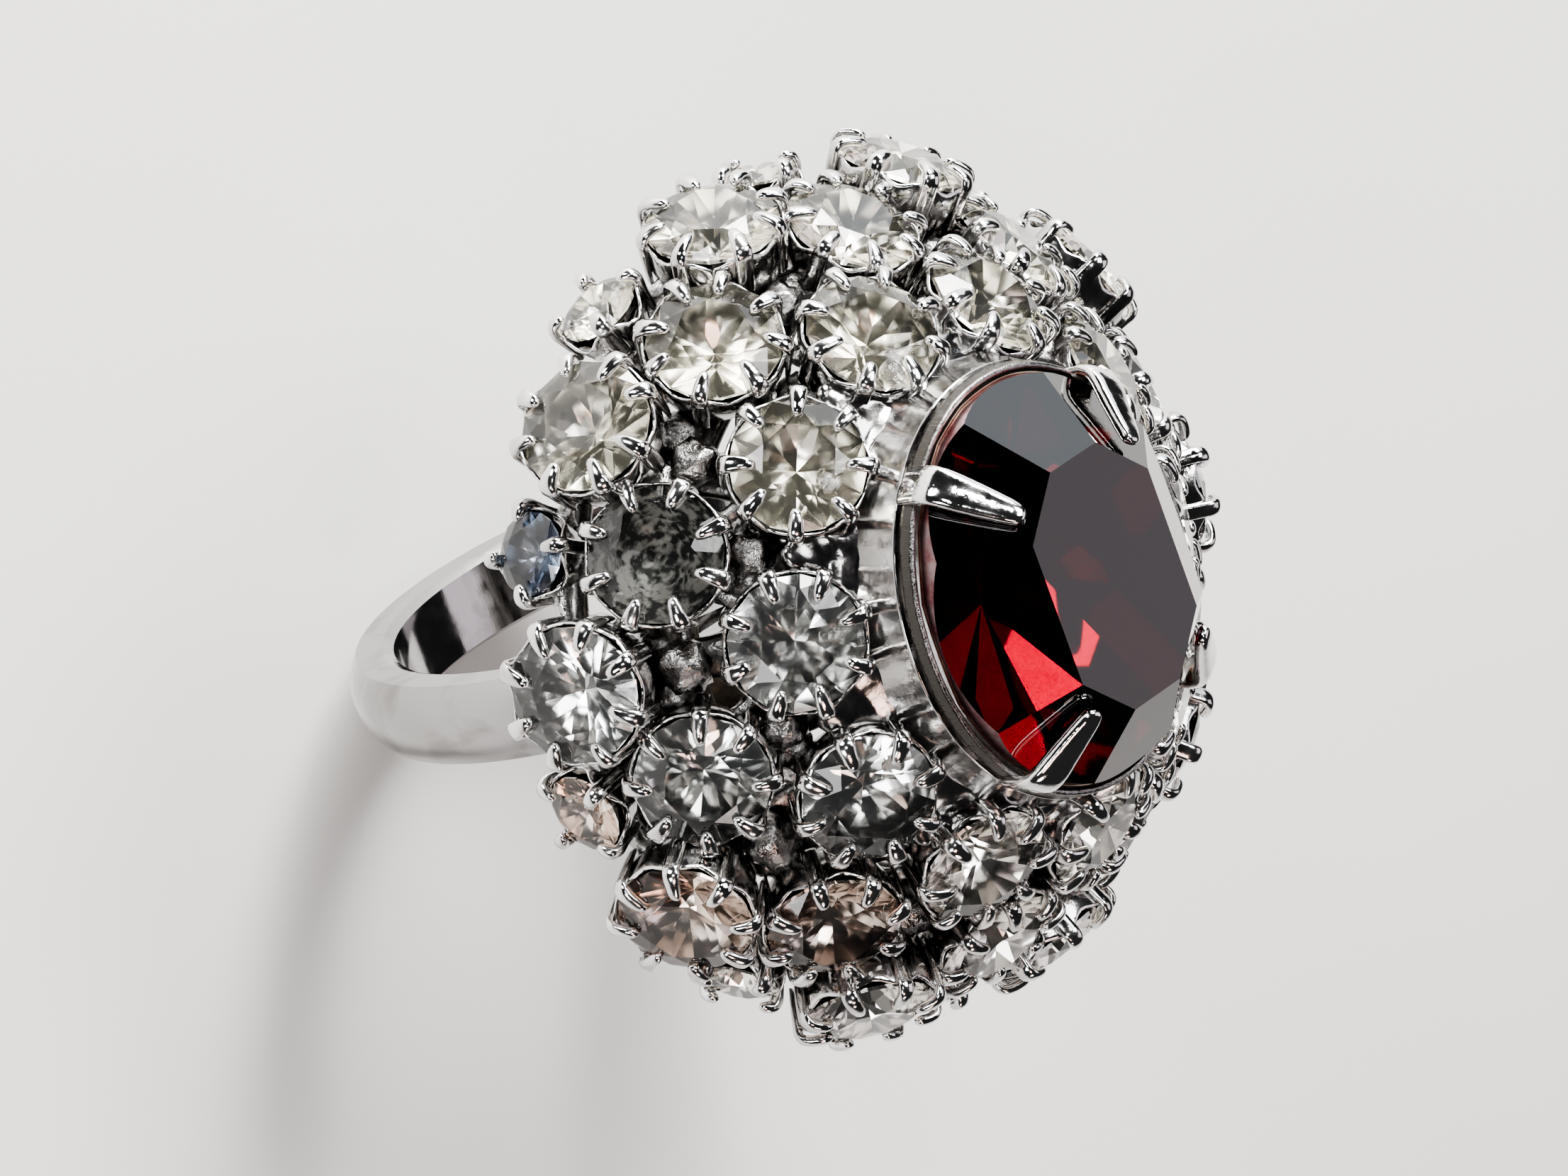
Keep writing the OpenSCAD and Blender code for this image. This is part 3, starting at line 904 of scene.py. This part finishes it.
def web(shape, polar, near, seed):
    """Uneven tongue of metal that slopes from the pedestal down between two cups."""
    out, side = spokes(polar)
    # The web's thickness is square to its slope.
    slope = Vector((2.3, 0, -1.4)).normalized()
    facing = out * -slope.z + Vector((0, 0, slope.x))
    steps = 16
    sides = 20
    rings = []
    for k in range(steps + 1):
        t = k / steps
        centre = out * (near - 0.2 + WEB_REACH * t) + Vector((0, 0, WEB_TOP - WEB_DROP * t))
        wide = (1.25 * (1 - t) ** 0.8 + 0.25) * (1 if k < steps else 0.4)
        deep = 0.26 * (1 if 0 < k < steps else 0.4)
        ring = []
        for a in full_turn(sides):
            point = centre + side * wide * math.cos(a) + facing * deep * math.sin(a)
            swell = 0.22 * noise.noise(point * 0.9 + Vector((seed, 0, 0)))
            swell += 0.08 * noise.noise(point * 2.6)
            ring.append(point + facing * swell)
        rings.append(ring)
    # Painted shade: the web is darker the further it drops between the cups.
    shape.loft(rings, painted_shade=[0.1 + 0.4 * k / steps for k in range(steps + 1)])


def make_webs():
    """A web in each notch between two inner cups, rooted just inside the pedestal's hem."""
    _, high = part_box("pedestal")
    inset = 0.5
    wide = high.x / MM - inset
    tall = high.y / MM - inset
    shape = Shape()
    for i in range(ROW_COUNT):
        before, _ = stone_seat(f"inner_stone_{(i - 1) % ROW_COUNT}")
        after, _ = stone_seat(f"inner_stone_{i}")
        polar = polar_of(before.translation + after.translation)
        near = 1 / math.hypot(math.cos(polar) / wide, math.sin(polar) / tall)
        web(shape, polar, near, 3 * i)
    piece = new_piece("pedestal_web_set", shape, [SKIRT])
    stands_for("pedestal_webs")


def make_pedestal_solder():
    """Beads of solder round the pedestal's foot, along the line of the CAD beads."""
    low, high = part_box("pedestal_solder")
    middle = (low + high) / 2 / MM
    bead = (high.z - low.z) / 2 / MM
    reach_x = high.x / MM - bead
    reach_y = high.y / MM - bead
    rng = random.Random(3)
    count = 3 * ROW_COUNT
    shape = Shape()
    for i in range(count):
        turn = 2 * math.pi * (i + rng.uniform(-0.3, 0.3)) / count
        centre = Vector((reach_x * math.cos(turn), reach_y * math.sin(turn), middle.z))
        lump(shape, centre, bead * rng.uniform(0.6, 1.0), i)
    piece = new_piece("pedestal_solder_beads", shape, [SOLDER])
    stands_for("pedestal_solder")


# ---- carried-over CAD nodes ----

def paint(node, material):
    piece = NODES[node]
    piece.data.materials.clear()
    piece.data.materials.append(material)


def paint_cad():
    paint("shank", POLISHED)
    paint("shank_solder", SOLDER)
    for node in ("bridge", "base_hoop", "mid_hoop", "top_hoop"):
        paint(node, CAST)


# ---- floor, lights and camera ----

# The camera looks at AIM; its angles are in degrees and its lens in millimetres.
AIM = Vector((-3.96, 1.84, 11.93)) * MM
VIEW_AZIMUTH = 246.32
VIEW_ELEVATION = 47.13
VIEW_ROLL = 87.46
VIEW_DISTANCE = 285.7 * MM
LENS = 195.3
# The lights face this point.
HEAD_MIDDLE = Vector((0, 0, 12 * MM))
WHITE = (1, 1, 1)
# Soft boxes: name, direction, distance, width and height in metres, radiance, colour.
LIGHTS = [("key", (0.385, 0.83, 0.345), 0.26, 0.075, 0.17, 62, (1.0, 0.98, 0.94)),
          ("side", (0.74, 0.65, 0.15), 0.40, 0.16, 0.28, 2.6, (0.88, 0.94, 1.0)),
          ("back", (0.62, -0.27, 0.73), 0.40, 0.24, 0.24, 1.4, (1.0, 0.91, 0.97)),
          ("upper_left", (-0.55, 0.80, 0.25), 0.40, 0.12, 0.12, 15, WHITE),
          ("left", (-0.91, -0.13, 0.40), 0.40, 0.10, 0.12, 9, WHITE),
          ("overhead", (0.24, 0.34, 0.91), 0.40, 0.16, 0.18, 9, WHITE),
          ("glow", (-0.07, 0.59, 0.81), 0.40, 0.05, 0.05, 28, WHITE),
          ("front", (-0.62, 0.27, 0.73), 0.45, 0.08, 0.08, 12, WHITE),
          ("warm", (-0.62, -0.45, 0.64), 0.35, 0.09, 0.09, 7, (1.0, 0.70, 0.60)),
          ("lower", (-0.35, -0.90, 0.25), 0.40, 0.09, 0.09, 7, (1.0, 0.86, 0.80))]


def make_floor():
    lowest = cad_box[0][2]
    material, tree, shader = new_material("pale_floor")
    grain = noise_value(tree, place(tree), 0.02, 3.0)
    tree.links.new(ramp(tree, grain, [(0.3, (0.70, 0.70, 0.69)), (0.7, (0.74, 0.74, 0.73))]),
                   shader.inputs["Base Color"])
    shader.inputs["Roughness"].default_value = 0.7
    half = 1.5
    mesh = bpy.data.meshes.new("floor")
    mesh.from_pydata([(-half, -half, lowest), (half, -half, lowest), (half, half, lowest),
                      (-half, half, lowest)], [], [(0, 1, 2, 3)])
    mesh.materials.append(material)
    floor = add_object("floor", mesh)


def softbox(name, direction, distance, wide, tall, radiance, colour):
    """Upright area light of a set radiance that faces the ring."""
    data = bpy.data.lights.new(name, "AREA")
    data.shape = "RECTANGLE"
    data.size = wide
    data.size_y = tall
    data.energy = radiance * math.pi * wide * tall
    data.color = colour
    light = add_object(name, data)
    out = Vector(direction).normalized()
    light.location = HEAD_MIDDLE + out * distance
    light.rotation_euler = out.to_track_quat("Z", "Y").to_euler()


def make_lights():
    for row in LIGHTS:
        softbox(*row)
    world = bpy.data.worlds.new("studio")
    world.use_nodes = True
    background = world.node_tree.nodes["Background"]
    background.inputs["Color"].default_value = (0.95, 0.97, 1.0, 1)
    background.inputs["Strength"].default_value = 0.03
    bpy.context.scene.world = world


def make_camera():
    azimuth = math.radians(VIEW_AZIMUTH)
    elevation = math.radians(VIEW_ELEVATION)
    roll = math.radians(VIEW_ROLL)
    back = Vector((math.sin(azimuth) * math.cos(elevation),
                   -math.cos(azimuth) * math.cos(elevation), math.sin(elevation)))
    level = Vector((math.cos(azimuth), math.sin(azimuth), 0))
    rise = back.cross(level)
    right = level * math.cos(roll) + rise * math.sin(roll)
    data = bpy.data.cameras.new("camera")
    data.lens = LENS
    data.sensor_width = 36
    data.clip_start = 0.01
    data.clip_end = 10
    camera = add_object("camera", data)
    turn = Matrix((right, back.cross(right), back)).transposed().to_4x4()
    camera.matrix_world = Matrix.Translation(AIM + back * VIEW_DISTANCE) @ turn
    bpy.context.scene.camera = camera


make_camera()
make_floor()
make_lights()
paint_cad()
make_stones()
make_cups()
make_cup_solder()
make_ribs()
make_centre_stone()
make_bezel()
make_centre_claws()
make_pedestal()
make_webs()
make_pedestal_solder()
bpy.context.scene.view_settings.look = "AgX - Medium High Contrast"
